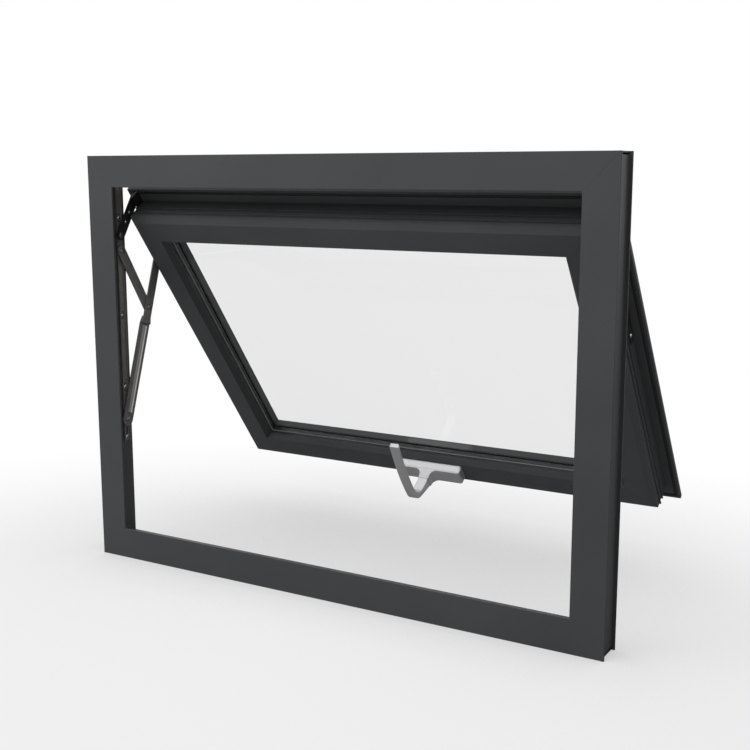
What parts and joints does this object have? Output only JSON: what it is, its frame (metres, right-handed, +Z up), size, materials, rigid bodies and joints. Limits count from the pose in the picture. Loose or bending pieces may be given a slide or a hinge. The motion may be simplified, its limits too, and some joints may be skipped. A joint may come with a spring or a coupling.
{
  "type": "top hung awning window",
  "caption": "Top hung awning window: dark aluminium frame, double glazed sash held open on side friction stays, and a cam handle on the bottom rail that turns.",
  "frame": {"origin": "middle of the sill's underside", "axes": "+X to the right seen from inside, +Y towards the outside, +Z up"},
  "size_m": [0.8, 0.3938, 0.6],
  "materials": {
    "anthracite": "satin",
    "seal_rubber": "matte",
    "glass": "clear",
    "spacer_aluminium": "satin",
    "stainless": "brushed",
    "handle_silver": "satin"
  },
  "bodies": {
    "window": {"bead_bottom": "anthracite", "bead_left": "anthracite", "bead_right": "anthracite", "bead_top": "anthracite", "frame_head": "anthracite", "frame_left_jamb": "anthracite", "frame_right_jamb": "anthracite", "frame_seal": "seal_rubber", "frame_sill": "anthracite", "glass_inner_pane": "glass", "glass_outer_pane": "glass", "glass_spacer": "spacer_aluminium", "glazing_gasket_inner": "seal_rubber", "glazing_gasket_outer": "seal_rubber", "handle_base": "handle_silver", "left_stay_sash_bar": "stainless", "left_stay_shoe": "stainless", "left_stay_strut": "stainless", "left_stay_support_arm": "stainless", "left_stay_top_link": "stainless", "left_stay_track": "stainless", "right_stay_sash_bar": "stainless", "right_stay_shoe": "stainless", "right_stay_strut": "stainless", "right_stay_support_arm": "stainless", "right_stay_top_link": "stainless", "right_stay_track": "stainless", "sash_bottom_rail": "anthracite", "sash_left_stile": "anthracite", "sash_right_stile": "anthracite", "sash_top_rail": "anthracite"},
    "handle": {"handle_lever": "handle_silver", "handle_spindle": "handle_silver"}
  },
  "joints": [
    {"name": "handle_turn", "type": "hinge", "parent": "window", "child": "handle", "pos_m": [-0.003, 0.28223, 0.09519], "axis": [0, 0.8059, 0.592], "range_deg": [0, 90]}
  ]
}
